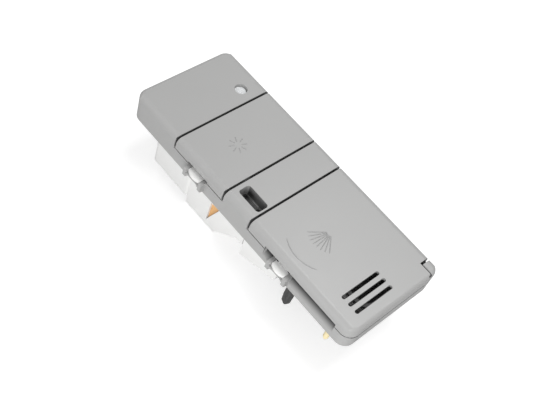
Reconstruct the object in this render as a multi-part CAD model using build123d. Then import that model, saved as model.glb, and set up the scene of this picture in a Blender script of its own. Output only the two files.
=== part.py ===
"""Dishwasher detergent dispenser: a door-mounted front housing with two side-hinged lids.

Frame: origin at the centre of the door seat (the lower rim of the skirt), +Z out of the front
face, +Y towards the level-window end, +X towards the hinges. Millimetres.
"""
import os
from math import atan2, degrees

from build123d import *

# Panel
PANEL_W = 90.0
PANEL_L = 236.0
FACE_H = 22.5
PLAN_R = 9.0
EDGE_R = 5.0
END_R = 3.0
WALL = 3.0
SKIN = 2.2
# Seams between the fixed sections and the lids, measured from the window end
RINSE_LID_TOP = 49.2
RINSE_LID_END = 103.4
DETERGENT_LID_TOP = 131.6
SEAM_GAP = 1.9
SEAM_Z = 12.0
DECK_DROP = 0.3
FLANGE_GAP = 1.1
LID_NOTCH_H = 1.4
# Hinges: the barrel is as round as the panel's edge
PIN_R = 1.5
PIN_CLEAR = 0.05
GROOVE_CLEAR = 0.5
LUG_LEN = 6.0
PIN_SEAT = 9.0
KNUCKLE_R = 6.2
KNUCKLE_CLEAR = 1.0
KNUCKLE_LEN = 10.4
HINGE_SPRING_WIRE_R = 0.4
HINGE_SPRING_LEN = 9.0
HINGE_SPRING_TURNS = 4
# Deck under the lids
DECK_T = 2.2
# Detergent cup
CUP_LEFT_ROOM = 23.0
CUP_RIGHT_ROOM = 19.0
CUP_END_ROOM = 10.0
CUP_TOP_ROOM = 11.0
CUP_R = 8.0
CUP_WALL = 2.0
CUP_DEPTH = 28.0
CUP_RIM_H = 5.6
SEAL_GAP = 0.3
SEAL_W = 3.0
# Vent slots of the detergent lid
SLOT_COUNT = 3
SLOT_PITCH = 6.5
SLOT_W = 3.1
SLOT_LEN = 36.0
SLOT_IN = 31.1
SLOT_END_ROOM = 24.2
# Outlet well in the middle strip
WELL_IN = 14.0
WELL_OFF = 118.6
WELL_W = 10.5
WELL_L = 21.5
WELL_DEPTH = 11.4
WELL_R = 2.5
WELL_WALL = 1.4
WELL_SLIP = 0.12
WELL_RIB_W = 1.0
WELL_RIB_H = 1.0
OUTLET_R = 1.6
DRAIN_ROOM = 1.92
# Level window
WINDOW_IN = 18.6
WINDOW_OFF = 36.7
WINDOW_R = 5.0
WINDOW_RECESS = 2.6
WINDOW_T = 2.4
WINDOW_LEDGE = 1.6
LIGHT_GUIDE_R = 3.4
LIGHT_GUIDE_CLEAR = 0.1
# Latches
RINSE_LATCH_OFF = 76.0
DETERGENT_LATCH_OFF = 167.9
LATCH_L = 13.0
LATCH_OUT = 4.2
LATCH_CROWN = 1.6
LATCH_T = 3.0
LATCH_STEM_W = 9.0
LATCH_STEM_IN = 14.0
LATCH_CLEAR = 0.35
LATCH_TRAVEL = 2.5
LATCH_SPRING_LEN = 4.0
LATCH_SPRING_R = 1.15
LATCH_SPRING_WIRE_R = 0.3
LATCH_SPRING_TURNS = 4
EAR_T = 3.0
EAR_REACH = 0.4
SILL_T = 1.6
POCKET_FLOOR_T = 2.4
NOSE_GAP = 0.4
NOSE_RISE = 0.6
CATCH_REACH = 1.8
# Finger scoops beside the detergent latch
SCOOP_START = 150.0
SCOOP_END_ROOM = 14.0
SCOOP_DEPTH = 4.2
SCOOP_H = 7.0
SCOOP_LIP = 1.5
SCOOP_BACK_Z = 4.0
FLANGE_RISE = 3.4
# Rinse-aid filler
FILLER_IN = 37.0
FILLER_OFF = 72.0
FILLER_R = 12.0
FILLER_WALL = 2.0
FILLER_RIM_H = 3.6
FILLER_FLANGE_T = 1.2
# Dosing dial
DIAL_IN = 27.0
DIAL_OFF = 92.0
DIAL_R = 8.0
DIAL_H = 3.4
DIAL_LIFT = 0.3
DIAL_EDGE_R = 0.8
DIAL_GRIP_ROOM = 1.5
DIAL_GRIP_W = 2.6
DIAL_GRIP_RISE = 2.0
DIAL_SHAFT_R = 2.6
DIAL_SHAFT_CLEAR = 0.1
DIAL_SHAFT_PROUD = 1.5
# White pieces behind the panel
REAR_INSET = 6.0
TANK_WALL = 2.0
TANK_TOP_OFF = 25.0
TANK_STEP_OFF = 66.5
TANK_END_OFF = 87.5
TANK_NOTCH_GAP = 1.0
TANK_RIGHT_INSET = 5.0
TANK_TOP_Z = 6.0
TANK_BOTTOM_Z = -32.5
TANK_GASKET_T = 1.4
ACTUATOR_GAP = 0.6
ACTUATOR_W = 28.0
ACTUATOR_TOP_Z = 0.0
ACTUATOR_BOTTOM_Z = -38.3
ACTUATOR_END_OFF = 128.0
ACTUATOR_LUG_T = 3.0
# Side view of the actuator housing, measured past the coil's axis
ACTUATOR_DEEP = 3.0
ACTUATOR_SLOPE = 16.0
ACTUATOR_SHELF = 25.5
SHELF_RISE = 3.2
SLOPE_STEP = 8.0
# Corners of the sight hole over the coil, from the coil's axis along Y and Z
SIGHT_HOLE = ((5.0, 10.5), (5.8, -12.0), (-4.0, 11.5))
GUARD_TOP_Z = -1.2
GUARD_DEEP_Z = -29.7
GUARD_SHALLOW_Z = -17.2
GUARD_END_OFF = 164.5
GUARD_W = 10.0
GUARD_LIP = 6.0
GUARD_SLANT = 1.0
# Level float
FLOAT_IN = 18.0
FLOAT_OFF = 60.0
FLOAT_ROD_R = 2.2
FLOAT_R = 9.0
FLOAT_H = 8.0
FLOAT_LIFT = 0.4
FLOAT_EDGE_R = 1.2
FLOAT_CLEAR = 0.35
REED_L = 22.0
REED_W = 7.0
REED_H = 4.0
REED_TAB_L = 6.0
REED_TAB_PITCH = 4.0
# Solenoid
COIL_OFF = 96.0
COIL_Z = -21.5
COIL_R = 9.6
COIL_LEN = 17.0
COIL_LEFT_ROOM = 2.6
BOBBIN_FLANGE_T = 1.4
BOBBIN_FLANGE_STEP = 0.8
BOBBIN_TUBE_R = 4.8
BOBBIN_FOOT_LOW = 2.0
BOBBIN_FOOT_HIGH = 8.0
BOBBIN_FOOT_GAP = 0.6
BOBBIN_END_W = 10.0
BOBBIN_END_DROP = 1.0
PLUNGER_R = 3.6
PLUNGER_CLEAR = 0.08
PLUNGER_HOLE_CLEAR = 0.3
PLUNGER_IN = 4.0
COLLAR_BACK = 1.4
COLLAR_FRONT = 2.4
COLLAR_STEP = 1.2
POST_PROUD = 0.2
PISTON_ROD_R = 1.8
RETURN_SPRING_WIRE_R = 0.35
RETURN_SPRING_STEP = 0.75
RETURN_SPRING_TURNS = 2.5
YOKE_T = 1.5
YOKE_W = 12.0
YOKE_GAP = 1.2
YOKE_DROP = 7.0
COVER_T = 0.8
COVER_GAP = 0.1
TERMINAL_IN = 12.4
TERMINAL_DROP = 3.0
TAB_W = 4.0
TAB_T = 0.8
TAB_PITCH = 4.0
TAB_ROOM = 1.0
TAB_SINK = 2.0
CARRIER_W = 6.0
CARRIER_T = 3.5
# Release lever
PIVOT_IN = 14.0
PIVOT_OFF = 132.0
PIVOT_R = 1.6
LEVER_T = 3.0
LEVER_Z = 1.4
LEVER_W = 7.0
LEVER_EYE_R = 5.6
LEVER_PEG_EYE_R = 4.4
LEVER_GAP = 0.4
PIVOT_BOSS_WALL = 1.6
PIVOT_HEAD_STEP = 1.0
PIVOT_HEAD_T = 1.4
DRIVE_PIN_R = 1.4
DRIVE_PIN_CLEAR = 0.35
POST_OUT = 4.5
PEG_IN = 9.5
# Dosing pump
PUMP_R = 5.0
PUMP_WALL = 1.6
PUMP_LEN = 15.0
PUMP_OUT = 9.0
PUMP_STUB_W = 6.0
PUMP_OUTLET_R = 1.2
PUMP_OUTLET_WALL = 1.2
PUMP_OUTLET_H = 6.0
PISTON_IN = 4.4
PISTON_T = 4.0
PISTON_CLEAR = 0.4
PISTON_GROOVE_IN = 1.2
PISTON_GROOVE_W = 1.6
PISTON_GROOVE_DEPTH = 1.4
PISTON_SEAL_SLIP = 0.05
PISTON_SEAL_CLEAR = 0.1
# Fixings behind the skirt
RETAINING_PEG_INSET = 9.8
RETAINING_PEG_STEP = 9.6
RETAINING_PEG_R = 4.2
RETAINING_PEG_END_Z = -33.0
PEG_FLUTE_R = 0.9
PEG_SPUR = 1.3
PEG_SIDES = 8
PEG_TAPER = 13.0
PEG_NOSE = 4.0
PEG_SHARES = (0.9, 1.0, 0.86, 0.42)
PEG_BOSS_WALL = 0.8
LOCATING_PIN_INSET = 8.4
LOCATING_PIN_END_ROOM = 18.5
LOCATING_PIN_R = 2.2
LOCATING_PIN_END_Z = -21.5
LOCATING_TIP_L = 3.0
LOCATING_BOSS_WALL = 1.2
SOCKET_ROOF = 3.0
SOCKET_END_GAP = 0.2
SOCKET_SLIP = 0.03
GASKET_W = 1.6
GASKET_H = 2.4
GASKET_CLEAR = 0.1
GASKET_PROUD = 0.6
GASKET_CORNER = 0.6
SCREW_R = 1.5
SCREW_HEAD_R = 3.0
SCREW_LEN = 9.0
SCREW_HEAD_T = 2.2
SCREW_HEAD_SLIP = 0.2
SCREW_SLIP = 0.05
SCREW_CLEAR = 0.2
SCREW_TIP_ROOM = 0.5
SCREW_WELL_CLEAR = 0.3
SCREW_WELL_WALL = 1.2
SCREW_LUG_W = 8.0
ACTUATOR_SCREW_IN = 5.5
ACTUATOR_SCREW_TOP_ROOM = 6.0
ACTUATOR_SCREW_END_ROOM = 4.9
TANK_SCREW_IN = 8.0
GUARD_SCREW_OUT = 4.5
GUARD_SCREW_DROP = 5.0

# Places that follow from the sizes above
LEFT = -PANEL_W / 2
RIGHT = PANEL_W / 2
HINGE_X = RIGHT - EDGE_R
HINGE_Z = FACE_H - EDGE_R
DECK_Z = SEAM_Z - DECK_DROP
DECK_UNDER = DECK_Z - DECK_T
FLANGE_Z = DECK_Z + FLANGE_GAP
REAR_X = LEFT + REAR_INSET
POCKET_Z = DECK_Z - LATCH_T - LATCH_CLEAR
CUP_RIM_Z = DECK_Z + CUP_RIM_H
CUP_X0 = LEFT + CUP_LEFT_ROOM
CUP_X1 = RIGHT - CUP_RIGHT_ROOM
SLOT_X = LEFT + SLOT_IN
WELL_X = LEFT + WELL_IN
WELL_FLOOR = FACE_H - WELL_DEPTH
WELL_UNDER = WELL_FLOOR - WELL_WALL
WINDOW_X = RIGHT - WINDOW_IN
WINDOW_SEAT = FACE_H - WINDOW_RECESS - WINDOW_T
FILLER_X = RIGHT - FILLER_IN
DIAL_X = LEFT + DIAL_IN
ACTUATOR_X1 = REAR_X + ACTUATOR_W
TANK_NOTCH_X = ACTUATOR_X1 + TANK_NOTCH_GAP
FLOAT_X = RIGHT - FLOAT_IN
PIVOT_X = LEFT + PIVOT_IN
POST_X = ACTUATOR_X1 + POST_OUT
PEG_X = LEFT + PEG_IN
PUMP_X = ACTUATOR_X1 + PUMP_OUT


def along(offset):
    """Y of a station measured from the window end of the panel."""
    return PANEL_L / 2 - offset


RINSE_Y1 = along(RINSE_LID_TOP) - SEAM_GAP / 2
RINSE_Y0 = along(RINSE_LID_END) + SEAM_GAP / 2
DETERGENT_Y1 = along(DETERGENT_LID_TOP) - SEAM_GAP / 2
DETERGENT_Y0 = -PANEL_L / 2
KNUCKLE_Y = DETERGENT_Y0 + KNUCKLE_LEN
RINSE_LATCH_Y = along(RINSE_LATCH_OFF)
DETERGENT_LATCH_Y = along(DETERGENT_LATCH_OFF)
PIVOT_Y = along(PIVOT_OFF)
COIL_Y = along(COIL_OFF)
COIL_X0 = REAR_X + TANK_WALL + COIL_LEFT_ROOM
TERMINAL_X = COIL_X0 + TERMINAL_IN
TERMINAL_Y = COIL_Y - COIL_R - TERMINAL_DROP
RETAINING_PEG_Y = DETERGENT_LATCH_Y - RETAINING_PEG_STEP
LOCATING_PIN_Y = DETERGENT_Y0 + LOCATING_PIN_END_ROOM
SCOOP_Y0 = DETERGENT_Y0 + SCOOP_END_ROOM
SCOOP_Y1 = along(SCOOP_START)
FLOAT_Y = along(FLOAT_OFF)
FLOAT_Z = TANK_BOTTOM_Z + TANK_WALL + FLOAT_LIFT


def block(x0, x1, y0, y1, z0, z1):
    """A cuboid between two corners."""
    return Pos((x0 + x1) / 2, (y0 + y1) / 2, (z0 + z1) / 2) * Box(x1 - x0, y1 - y0, z1 - z0)


def post(x, y, z0, z1, r):
    """An upright cylinder."""
    return Pos(x, y, (z0 + z1) / 2) * Cylinder(r, z1 - z0)


def bar_x(x0, x1, y, z, r):
    """A cylinder lying along X."""
    return Pos((x0 + x1) / 2, y, z) * Rot(0, 90, 0) * Cylinder(r, x1 - x0)


def bar_y(y0, y1, x, z, r):
    """A cylinder lying along Y."""
    return Pos(x, (y0 + y1) / 2, z) * Rot(90, 0, 0) * Cylinder(r, y1 - y0)


def tray(x0, x1, y0, y1, z0, z1, r):
    """A prism with a rounded rectangular plan."""
    plan = Pos((x0 + x1) / 2, (y0 + y1) / 2, z0) * RectangleRounded(x1 - x0, y1 - y0, r)
    return extrude(plan, z1 - z0)


def panel_form(inset):
    """The panel's outer form, drawn in by an inset: broad shoulders along its sides, tighter ends."""
    plan = RectangleRounded(PANEL_W - 2 * inset, PANEL_L - 2 * inset, PLAN_R - inset)
    form = extrude(plan, FACE_H - inset)
    form = fillet(form.faces().sort_by(Axis.Z)[-1].edges(), END_R - inset)
    sides = block(LEFT + inset, RIGHT - inset, -PANEL_L, PANEL_L, -1, FACE_H - inset)
    shoulders = sides.faces().sort_by(Axis.Z)[-1].edges().filter_by(Axis.Y)
    return form & fillet(shoulders, EDGE_R - inset)


def helix_spring(coil_r, wire_r, length, turns):
    """A round-wire coil spring standing on Z = 0."""
    path = Helix(length / turns, length, coil_r)
    section = Plane(path @ 0, z_dir=path % 0) * Circle(wire_r)
    return sweep(section, path)


OUTER = panel_form(0)
INNER = panel_form(SKIN)


def hinge_groove(y0, y1):
    """Room for a lid's barrel to turn in."""
    return bar_y(y0, y1, HINGE_X, HINGE_Z, EDGE_R + GROOVE_CLEAR)


def lid_shell(y0, y1):
    """A slice of the panel's skin with side flanges and pin lugs at its two ends."""
    slab = block(LEFT, RIGHT, y0, y1, FLANGE_Z, FACE_H)
    shell = (OUTER & slab) - INNER
    shell -= block(HINGE_X + EDGE_R - SKIN - PIN_CLEAR, RIGHT, y0, y1, FLANGE_Z, HINGE_Z)
    return shell


def add_lugs(shell, y0, y1):
    """Pin lugs at both ends of a lid, bored for the hinge pin."""
    for start in (y0, y1 - LUG_LEN):
        lug = bar_y(start, start + LUG_LEN, HINGE_X, HINGE_Z, EDGE_R)
        shell += lug
    return shell - bar_y(y0 - 1, y1 + 1, HINGE_X, HINGE_Z, PIN_R + PIN_CLEAR)


def lid_catch(latch_y):
    """The ledge on a lid's flange that its latch holds down."""
    return block(LEFT + SKIN, LEFT + SKIN + CATCH_REACH, latch_y - LATCH_STEM_W / 2,
                 latch_y + LATCH_STEM_W / 2, SEAM_Z + FLANGE_RISE, SEAM_Z + FLANGE_RISE + SKIN)


def stiffener(y, x0, x1):
    """A low rib across a lid's underside."""
    return block(x0, x1, y - SKIN / 4, y + SKIN / 4, FACE_H - 2 * SKIN, FACE_H - SKIN)


def detergent_lid():
    lid = lid_shell(DETERGENT_Y0, DETERGENT_Y1)
    lid -= bar_y(DETERGENT_Y0, KNUCKLE_Y + SEAM_GAP, HINGE_X, HINGE_Z, KNUCKLE_R + KNUCKLE_CLEAR)
    lid -= block(HINGE_X, RIGHT, DETERGENT_Y0, KNUCKLE_Y + SEAM_GAP, FLANGE_Z, FACE_H)
    lid -= block(HINGE_X - KNUCKLE_R - KNUCKLE_CLEAR, RIGHT, DETERGENT_Y0, KNUCKLE_Y + SEAM_GAP,
                 FLANGE_Z, HINGE_Z)
    lid = add_lugs(lid, KNUCKLE_Y + SEAM_GAP, DETERGENT_Y1)
    lid -= block(LEFT, LEFT + EDGE_R, SCOOP_Y0, SCOOP_Y1, FLANGE_Z, SEAM_Z + FLANGE_RISE)
    for i in range(SLOT_COUNT):
        y = DETERGENT_Y0 + SLOT_END_ROOM - i * SLOT_PITCH
        slot = Pos(SLOT_X, y, FACE_H - 2 * SKIN) * SlotOverall(SLOT_LEN, SLOT_W)
        lid -= extrude(slot, 3 * SKIN)
    lid += stiffener(DETERGENT_Y1 - CUP_TOP_ROOM / 2, LEFT + EDGE_R, HINGE_X - 2 * EDGE_R)
    return lid + lid_catch(DETERGENT_LATCH_Y)


def rinse_aid_lid():
    lid = add_lugs(lid_shell(RINSE_Y0, RINSE_Y1), RINSE_Y0, RINSE_Y1)
    half = LATCH_L / 2 + LATCH_CLEAR + EAR_T + SEAM_GAP / 2
    lid -= block(LEFT, LEFT + SKIN, RINSE_LATCH_Y - half, RINSE_LATCH_Y + half,
                 FLANGE_Z, FLANGE_Z + LID_NOTCH_H)
    lid += lid_catch(RINSE_LATCH_Y)
    plug_bottom = DECK_Z + FILLER_RIM_H - SKIN
    plug = post(FILLER_X, along(FILLER_OFF), plug_bottom, FACE_H - SKIN / 2, FILLER_R - 3 * SKIN)
    lid += plug
    for y in (RINSE_Y0 + LUG_LEN, RINSE_Y1 - LUG_LEN):
        lid += stiffener(y, LEFT + EDGE_R, HINGE_X - 2 * EDGE_R)
    return lid


def latch_ears(latch_y):
    """Two gusseted ears and a scooped sill that guide a latch button outside the side wall."""
    ear_tip = LEFT - LATCH_OUT - EAR_REACH
    ears = Part()
    for side in (-1, 1):
        inner = latch_y + side * (LATCH_L / 2 + LATCH_CLEAR)
        with_corner = Plane.XZ * Polygon((LEFT + 1, DECK_Z), (ear_tip, DECK_Z), (ear_tip, SEAM_Z / 3),
                                         (LEFT + 1, SEAM_Z / 8), align=None)
        ear = extrude(with_corner, EAR_T / 2, both=True)
        ears += Pos(0, inner + side * EAR_T / 2, 0) * ear
    half = LATCH_L / 2 + LATCH_CLEAR + EAR_T / 2
    sill = block(ear_tip, LEFT + 1, latch_y - half, latch_y + half, POCKET_Z - SILL_T, POCKET_Z)
    scoop_r = LATCH_L
    bite = post(ear_tip - scoop_r + LATCH_OUT / 3, latch_y, POCKET_Z - 2 * SILL_T, POCKET_Z + 1, scoop_r)
    return ears + (sill - bite)


def latch_pocket_floor(latch_y):
    """The thick floor under a latch."""
    inner = LEFT + LATCH_STEM_IN + LATCH_SPRING_LEN + CUP_WALL
    half = LATCH_STEM_W / 2 + WALL
    return block(LEFT + WALL / 2, inner, latch_y - half, latch_y + half, POCKET_Z - POCKET_FLOOR_T, DECK_Z)


def latch_pocket(latch_y):
    """Room for a latch's button, stem and spring."""
    half = LATCH_L / 2 + LATCH_CLEAR
    stem_half = LATCH_STEM_W / 2 + LATCH_CLEAR
    spring_end = LEFT + LATCH_STEM_IN + LATCH_SPRING_LEN
    button_end = LEFT + WALL / 2 + LATCH_TRAVEL + LATCH_CLEAR
    room = block(LEFT - 1, button_end, latch_y - half, latch_y + half, POCKET_Z, DECK_Z + 1)
    return room + block(LEFT, spring_end, latch_y - stem_half, latch_y + stem_half, POCKET_Z, DECK_Z + 1)


def finger_scoop(y0, y1):
    """A wedge cut into the side wall under the lid's raised flange."""
    wedge = Plane.XZ * Polygon((LEFT - 1, SEAM_Z - SCOOP_H), (LEFT, SEAM_Z - SCOOP_H),
                               (LEFT + SCOOP_DEPTH, SEAM_Z - SCOOP_LIP),
                               (LEFT + SCOOP_DEPTH, SEAM_Z), (LEFT - 1, SEAM_Z), align=None)
    return Pos(0, (y0 + y1) / 2, 0) * extrude(wedge, (y1 - y0) / 2, both=True)


def scoop_spans():
    """The two stretches of side wall beside the detergent latch."""
    half = LATCH_L / 2 + LATCH_CLEAR + EAR_T
    return (SCOOP_Y0, DETERGENT_LATCH_Y - half), (DETERGENT_LATCH_Y + half, SCOOP_Y1)


def scoop_back(y0, y1):
    """Extra wall behind a finger scoop."""
    return block(LEFT + WALL / 2, LEFT + SCOOP_DEPTH + WALL, y0, y1, SCOOP_BACK_Z, DECK_Z)


def prism_x(points, x0, x1):
    """A prism along X over an outline in the YZ plane."""
    outline = Plane.YZ * Polygon(*points, align=None)
    return Pos(x0, 0, 0) * extrude(outline, x1 - x0, dir=(1, 0, 0))


def boss(x, y, z0, r, roof=DECK_UNDER):
    """A boss hanging from the deck, or from a higher roof."""
    return post(x, y, z0, roof + DECK_T / 2, r)


# Each screw: x, y, level of its boss, thickness it clamps, roof its boss hangs from
SCREW_PLACES = (
    (ACTUATOR_X1 - ACTUATOR_SCREW_IN, along(TANK_STEP_OFF) - ACTUATOR_SCREW_TOP_ROOM,
     ACTUATOR_TOP_Z, ACTUATOR_LUG_T, DECK_UNDER),
    (ACTUATOR_X1 - ACTUATOR_SCREW_IN, along(ACTUATOR_END_OFF) + ACTUATOR_SCREW_END_ROOM,
     ACTUATOR_TOP_Z, ACTUATOR_LUG_T, FACE_H - WALL),
    (REAR_X + TANK_SCREW_IN, along(TANK_TOP_OFF) - TANK_SCREW_IN, TANK_TOP_Z, TANK_WALL, FACE_H - WALL),
    (RIGHT - TANK_RIGHT_INSET - TANK_SCREW_IN, along(TANK_END_OFF) + TANK_SCREW_IN,
     TANK_TOP_Z, TANK_WALL, DECK_UNDER),
    (REAR_X + GUARD_W + GUARD_SCREW_OUT, PIVOT_Y - GUARD_SCREW_DROP, GUARD_TOP_Z, TANK_WALL, DECK_UNDER),
)


def front_housing():
    cavity_top = FACE_H - WALL
    body = OUTER
    inner_plan = dict(x0=LEFT + WALL, x1=RIGHT - WALL, r=PLAN_R - WALL)
    for y0, y1, top in ((RINSE_Y1 + WALL, PANEL_L / 2 - WALL, cavity_top),
                        (RINSE_Y0 - SEAM_GAP, RINSE_Y1 + WALL, DECK_UNDER),
                        (DETERGENT_Y1 + SEAM_GAP + WALL, RINSE_Y0 - SEAM_GAP - WALL, cavity_top),
                        (DETERGENT_Y0 + WALL, DETERGENT_Y1 + SEAM_GAP, DECK_UNDER)):
        whole = tray(y0=-PANEL_L / 2 + WALL, y1=PANEL_L / 2 - WALL, z0=-1, z1=top, **inner_plan)
        body -= whole & block(LEFT, RIGHT, y0, y1, -1, top)
    body -= tray(y0=-PANEL_L / 2 + WALL, y1=PANEL_L / 2 - WALL, z0=-1, z1=DECK_UNDER, **inner_plan)
    for y0, y1 in ((RINSE_Y0 - SEAM_GAP, RINSE_Y1 + SEAM_GAP),
                   (DETERGENT_Y0 - 1, DETERGENT_Y1 + SEAM_GAP)):
        body -= block(LEFT - 1, HINGE_X, y0, y1, DECK_Z, FACE_H + 1)
        body -= block(HINGE_X - 1, RIGHT + 1, y0, y1, HINGE_Z, FACE_H + 1)
        body -= hinge_groove(y0, y1)
    body += knuckle()
    body += cup_walls()
    for latch_y in (RINSE_LATCH_Y, DETERGENT_LATCH_Y):
        body += latch_ears(latch_y) + latch_pocket_floor(latch_y)
    for y0, y1 in scoop_spans():
        body += scoop_back(y0, y1)
    body += post(WINDOW_X, along(WINDOW_OFF), WINDOW_SEAT - WINDOW_LEDGE, FACE_H - SKIN,
                 WINDOW_R + WINDOW_LEDGE)
    for x, y, z, _, roof in SCREW_PLACES:
        body += boss(x, y, z, SCREW_HEAD_R, roof)
    for side in (-1, 1):
        peg_x = side * (RIGHT - RETAINING_PEG_INSET)
        body += boss(peg_x, RETAINING_PEG_Y, 0, RETAINING_PEG_R + PEG_BOSS_WALL)
    body += boss(LEFT + LOCATING_PIN_INSET, LOCATING_PIN_Y, 0, LOCATING_PIN_R + LOCATING_BOSS_WALL)
    body += boss(PIVOT_X, PIVOT_Y, LEVER_Z + LEVER_T + LEVER_GAP, PIVOT_R + PIVOT_BOSS_WALL)
    return cut_housing(body)


def knuckle():
    """The fixed hinge knuckle that stands in the notch at the lid's end corner."""
    stand = block(HINGE_X - KNUCKLE_R, RIGHT, DETERGENT_Y0, KNUCKLE_Y, DECK_UNDER, HINGE_Z)
    head = bar_y(DETERGENT_Y0, KNUCKLE_Y, HINGE_X, HINGE_Z, KNUCKLE_R)
    return OUTER & (stand + head)


def cup_walls():
    """The detergent cup, with a raised rim for the lid's seal."""
    y0 = DETERGENT_Y0 + CUP_END_ROOM
    y1 = DETERGENT_Y1 - CUP_TOP_ROOM
    return tray(CUP_X0 - CUP_WALL, CUP_X1 + CUP_WALL, y0 - CUP_WALL, y1 + CUP_WALL,
                DECK_Z - CUP_DEPTH - CUP_WALL, CUP_RIM_Z, CUP_R + CUP_WALL)


def cup_space():
    """The inside of the detergent cup with its rounded floor."""
    y0 = DETERGENT_Y0 + CUP_END_ROOM
    y1 = DETERGENT_Y1 - CUP_TOP_ROOM
    space = tray(CUP_X0, CUP_X1, y0, y1, DECK_Z - CUP_DEPTH, CUP_RIM_Z + 1, CUP_R)
    return fillet(space.faces().sort_by(Axis.Z)[0].edges(), CUP_R / 2)


def cut_housing(body):
    """Every opening, bore and pocket of the front housing."""
    body -= cup_space()
    for latch_y in (RINSE_LATCH_Y, DETERGENT_LATCH_Y):
        body -= latch_pocket(latch_y)
    for y0, y1 in scoop_spans():
        body -= finger_scoop(y0, y1)
    peg_room = DRIVE_PIN_R + LATCH_CLEAR
    slot = Pos(PEG_X + LATCH_TRAVEL / 2, DETERGENT_LATCH_Y, 0) * SlotOverall(
        LATCH_TRAVEL + 2 * peg_room, 2 * peg_room)
    body -= extrude(slot, DECK_Z)
    body -= post(FILLER_X, along(FILLER_OFF), 0, FACE_H, FILLER_R + FILLER_WALL + PIN_CLEAR)
    body -= post(DIAL_X, along(DIAL_OFF), 0, FACE_H, DIAL_SHAFT_R + DIAL_SHAFT_CLEAR)
    body -= well_plan(0, FACE_H - WALL - 1, FACE_H + 1)
    body -= well_plan(WELL_WALL + WELL_SLIP, WELL_UNDER - WELL_SLIP, FACE_H - WALL)
    body -= post(WINDOW_X, along(WINDOW_OFF), 0, FACE_H + 1, WINDOW_R - 1)
    body -= post(WINDOW_X, along(WINDOW_OFF), WINDOW_SEAT, FACE_H + 1, WINDOW_R)
    pins = bar_y(RINSE_Y0 - PIN_SEAT, RINSE_Y1 + PIN_SEAT, HINGE_X, HINGE_Z, PIN_R + PIN_CLEAR)
    pins += bar_y(DETERGENT_Y0 + SKIN, DETERGENT_Y1 + PIN_SEAT, HINGE_X, HINGE_Z, PIN_R + PIN_CLEAR)
    body -= pins
    for x, y, z, clamped, _ in SCREW_PLACES:
        body -= post(x, y, z - 1, z + SCREW_LEN - clamped, SCREW_R)
    for side in (-1, 1):
        peg_x = side * (RIGHT - RETAINING_PEG_INSET)
        body -= post(peg_x, RETAINING_PEG_Y, -1, DECK_UNDER - SOCKET_ROOF, RETAINING_PEG_R / 2)
    body -= post(LEFT + LOCATING_PIN_INSET, LOCATING_PIN_Y, -1, DECK_UNDER - SOCKET_ROOF,
                 LOCATING_PIN_R / 2)
    return body - post(PIVOT_X, PIVOT_Y, 0, DECK_UNDER, PIVOT_R)


def well_plan(margin, z0, z1):
    """A prism over the outlet well's plan, grown by a margin."""
    half_w = WELL_W / 2 + margin
    half_l = WELL_L / 2 + margin
    y = along(WELL_OFF)
    return tray(WELL_X - half_w, WELL_X + half_w, y - half_l, y + half_l, z0, z1, WELL_R + margin)


def well_cup():
    """The outlet well's cup under the panel, with a rib along its floor and a drain at its corner."""
    y0 = along(WELL_OFF) - WELL_L / 2
    wall_x = WELL_X + WELL_W / 2
    cup = well_plan(WELL_WALL, WELL_UNDER, FACE_H - WALL) - well_plan(0, WELL_FLOOR, FACE_H)
    cup += block(wall_x - WELL_RIB_W, wall_x + WELL_WALL / 2, y0 + 3 * WELL_R, y0 + WELL_L,
                 WELL_FLOOR - WELL_WALL / 2, WELL_FLOOR + WELL_RIB_H)
    return cup - post(wall_x - DRAIN_ROOM, y0 + WELL_R + OUTLET_R, 0, FACE_H, OUTLET_R)


def filler_collar():
    """The filler's rim, flanged on the deck and clamped from below by the tank's gasket."""
    y = along(FILLER_OFF)
    collar = post(FILLER_X, y, DECK_UNDER, DECK_Z + FILLER_RIM_H, FILLER_R + FILLER_WALL)
    collar += post(FILLER_X, y, DECK_Z, DECK_Z + FILLER_FLANGE_T, FILLER_R + 2 * FILLER_WALL)
    return collar - post(FILLER_X, y, DECK_UNDER - 1, DECK_Z + 2 * FILLER_RIM_H, FILLER_R)


def level_window():
    """A clear lens with a light guide that dips into the tank."""
    y = along(WINDOW_OFF)
    lens = post(WINDOW_X, y, WINDOW_SEAT, WINDOW_SEAT + WINDOW_T, WINDOW_R - PIN_CLEAR)
    lens = fillet(lens.faces().sort_by(Axis.Z)[-1].edges(), WINDOW_T / 3)
    return lens + post(WINDOW_X, y, TANK_TOP_Z - 2 * TANK_WALL, WINDOW_SEAT, LIGHT_GUIDE_R)


def tank_plan(inset):
    """The tank's stepped plan, drawn in by an inset."""
    x0 = REAR_X + inset
    x1 = RIGHT - TANK_RIGHT_INSET - inset
    top = along(TANK_TOP_OFF) - inset
    step = along(TANK_STEP_OFF) + inset
    end = along(TANK_END_OFF) + inset
    notch = TANK_NOTCH_X + inset
    plan = Polygon((x0, top), (x0, step), (notch, step), (notch, end), (x1, end), (x1, top), align=None)
    outer_corners = [v for v in plan.vertices() if abs(v.X - notch) + abs(v.Y - step) > SEAM_GAP]
    return fillet(outer_corners, WALL)


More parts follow.
